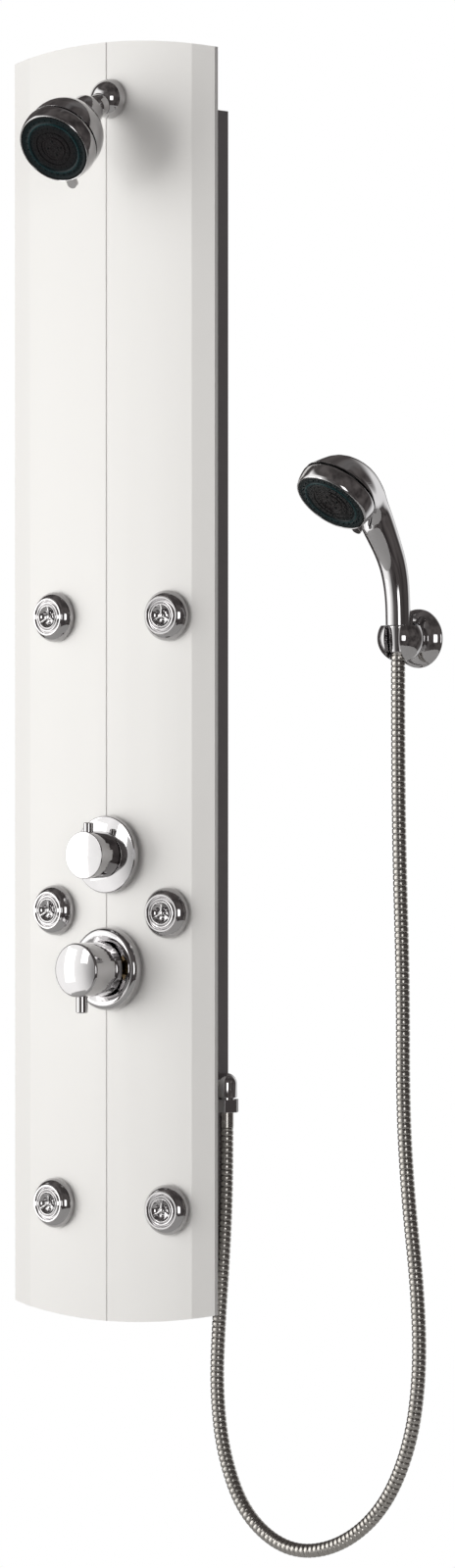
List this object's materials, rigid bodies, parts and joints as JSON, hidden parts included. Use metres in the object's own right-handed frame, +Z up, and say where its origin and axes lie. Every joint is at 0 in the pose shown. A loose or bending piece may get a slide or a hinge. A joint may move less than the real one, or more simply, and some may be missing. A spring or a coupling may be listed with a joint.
{
  "type": "shower panel",
  "caption": "Wall-hung shower column with a bowed two-part panel, tilting head, body jets, temperature and diverter knobs, side outlet, ribbed hose and handset in a wall holder.",
  "frame": {"origin": "centre of the upper wall rail's two screw holes, on the wall plane", "axes": "+X to the right seen from the room, +Y into the wall, +Z up"},
  "size_m": [0.5048, 0.187, 1.5265],
  "materials": {
    "panel": "satin",
    "box": "satin",
    "chrome": "polished",
    "zinc": "galvanised",
    "brass": "machined",
    "pipe": "drawn tube",
    "spray_face": "gloss",
    "hose": "bright ribbed",
    "seat": "moulded"
  },
  "bodies": {
    "column": {"arm_elbow": "brass", "arm_flange": "chrome", "bottom_cap": "box", "diverter_body": "brass", "diverter_flange": "chrome", "holder_flange": "chrome", "holder_plate": "zinc", "holder_socket": "chrome", "hose": "hose", "hose_ferrule": "hose", "hose_nut": "chrome", "jet_housing_lower_left": "chrome", "jet_housing_lower_right": "chrome", "jet_housing_middle_left": "chrome", "jet_housing_middle_right": "chrome", "jet_housing_upper_left": "chrome", "jet_housing_upper_right": "chrome", "jet_manifold_left": "pipe", "jet_manifold_right": "pipe", "jet_nuts": "brass", "link_pipe": "pipe", "lower_hanger": "zinc", "lower_wall_rail": "zinc", "mixer_body": "brass", "outlet_elbow": "chrome", "outlet_nut": "zinc", "outlet_pipe": "pipe", "panel_left": "panel", "panel_right": "panel", "panel_screws": "zinc", "riser_pipe": "pipe", "shower_arm": "chrome", "side_rail_left": "box", "side_rail_right": "box", "temperature_flange": "chrome", "top_cap": "box", "upper_hanger": "zinc", "upper_wall_rail": "zinc"},
    "head_seat": {"head_ball_seat": "seat"},
    "head": {"head_collar": "chrome", "head_shell": "chrome", "head_face": "spray_face"},
    "head_selector": {"head_ring": "chrome"},
    "temperature_knob": {"temperature_spindle": "brass", "temperature_knob": "chrome"},
    "stop_button": {"stop_button": "chrome"},
    "diverter_knob": {"diverter_spindle": "brass", "diverter_knob": "chrome", "diverter_lever": "chrome"},
    "handset": {"handset_shell": "chrome", "handset_face": "spray_face", "hose_cone_nut": "chrome"},
    "handset_selector": {"handset_ring": "chrome"},
    "jet_upper_left": {"jet_nozzle_upper_left": "chrome"},
    "jet_upper_right": {"jet_nozzle_upper_right": "chrome"},
    "jet_middle_left": {"jet_nozzle_middle_left": "chrome"},
    "jet_middle_right": {"jet_nozzle_middle_right": "chrome"},
    "jet_lower_left": {"jet_nozzle_lower_left": "chrome"},
    "jet_lower_right": {"jet_nozzle_lower_right": "chrome"}
  },
  "joints": [
    {"name": "head_swing", "type": "hinge", "parent": "column", "child": "head_seat", "pos_m": [0.005, -0.10365, 0.077], "axis": [0, 0, 1], "range_deg": [-25, 10]},
    {"name": "head_tilt", "type": "hinge", "parent": "head_seat", "child": "head", "pos_m": [0.005, -0.10365, 0.077], "axis": [0.9925, 0.1219, 0], "range_deg": [-30, 10]},
    {"name": "head_selector_turn", "type": "hinge", "parent": "head", "child": "head_selector", "pos_m": [0.01259, -0.16544, 0.03341], "axis": [0.0998, -0.813, -0.5736], "range_deg": [-60, 60]},
    {"name": "temperature_turn", "type": "hinge", "parent": "column", "child": "temperature_knob", "pos_m": [0.005, -0.06665, -0.675], "axis": [0, -1, 0], "range_deg": [-150, 60]},
    {"name": "stop_press", "type": "slide", "parent": "temperature_knob", "child": "stop_button", "axis": [0, 0, -1], "range_m": [0, 0.003], "stiffness_N_per_m": 300, "springref_m": -0.003},
    {"name": "diverter_turn", "type": "hinge", "parent": "column", "child": "diverter_knob", "pos_m": [0.005, -0.06665, -0.791], "axis": [0, -1, 0], "range_deg": [-90, 90]},
    {"name": "handset_lift", "type": "slide", "parent": "column", "child": "handset", "axis": [0, 0, 1], "range_m": [0, 0.06]},
    {"name": "handset_selector_turn", "type": "hinge", "parent": "handset", "child": "handset_selector", "pos_m": [0.32768, -0.12289, -0.3275], "axis": [-0.1241, -0.6442, -0.7547], "range_deg": [-60, 60]},
    {"name": "jet_tilt_upper_left", "type": "hinge", "parent": "column", "child": "jet_upper_left", "pos_m": [-0.06849, -0.07125, -0.433], "axis": [0.9975, -0.07, 0], "range_deg": [-12, 12]},
    {"name": "jet_tilt_upper_right", "type": "hinge", "parent": "column", "child": "jet_upper_right", "pos_m": [0.07856, -0.07049, -0.433], "axis": [0.9968, 0.0803, 0], "range_deg": [-12, 12]},
    {"name": "jet_tilt_middle_left", "type": "hinge", "parent": "column", "child": "jet_middle_left", "pos_m": [-0.06849, -0.07125, -0.733], "axis": [0.9975, -0.07, 0], "range_deg": [-12, 12]},
    {"name": "jet_tilt_middle_right", "type": "hinge", "parent": "column", "child": "jet_middle_right", "pos_m": [0.07856, -0.07049, -0.733], "axis": [0.9968, 0.0803, 0], "range_deg": [-12, 12]},
    {"name": "jet_tilt_lower_left", "type": "hinge", "parent": "column", "child": "jet_lower_left", "pos_m": [-0.06849, -0.07125, -1.033], "axis": [0.9975, -0.07, 0], "range_deg": [-12, 12]},
    {"name": "jet_tilt_lower_right", "type": "hinge", "parent": "column", "child": "jet_lower_right", "pos_m": [0.07856, -0.07049, -1.033], "axis": [0.9968, 0.0803, 0], "range_deg": [-12, 12]}
  ]
}
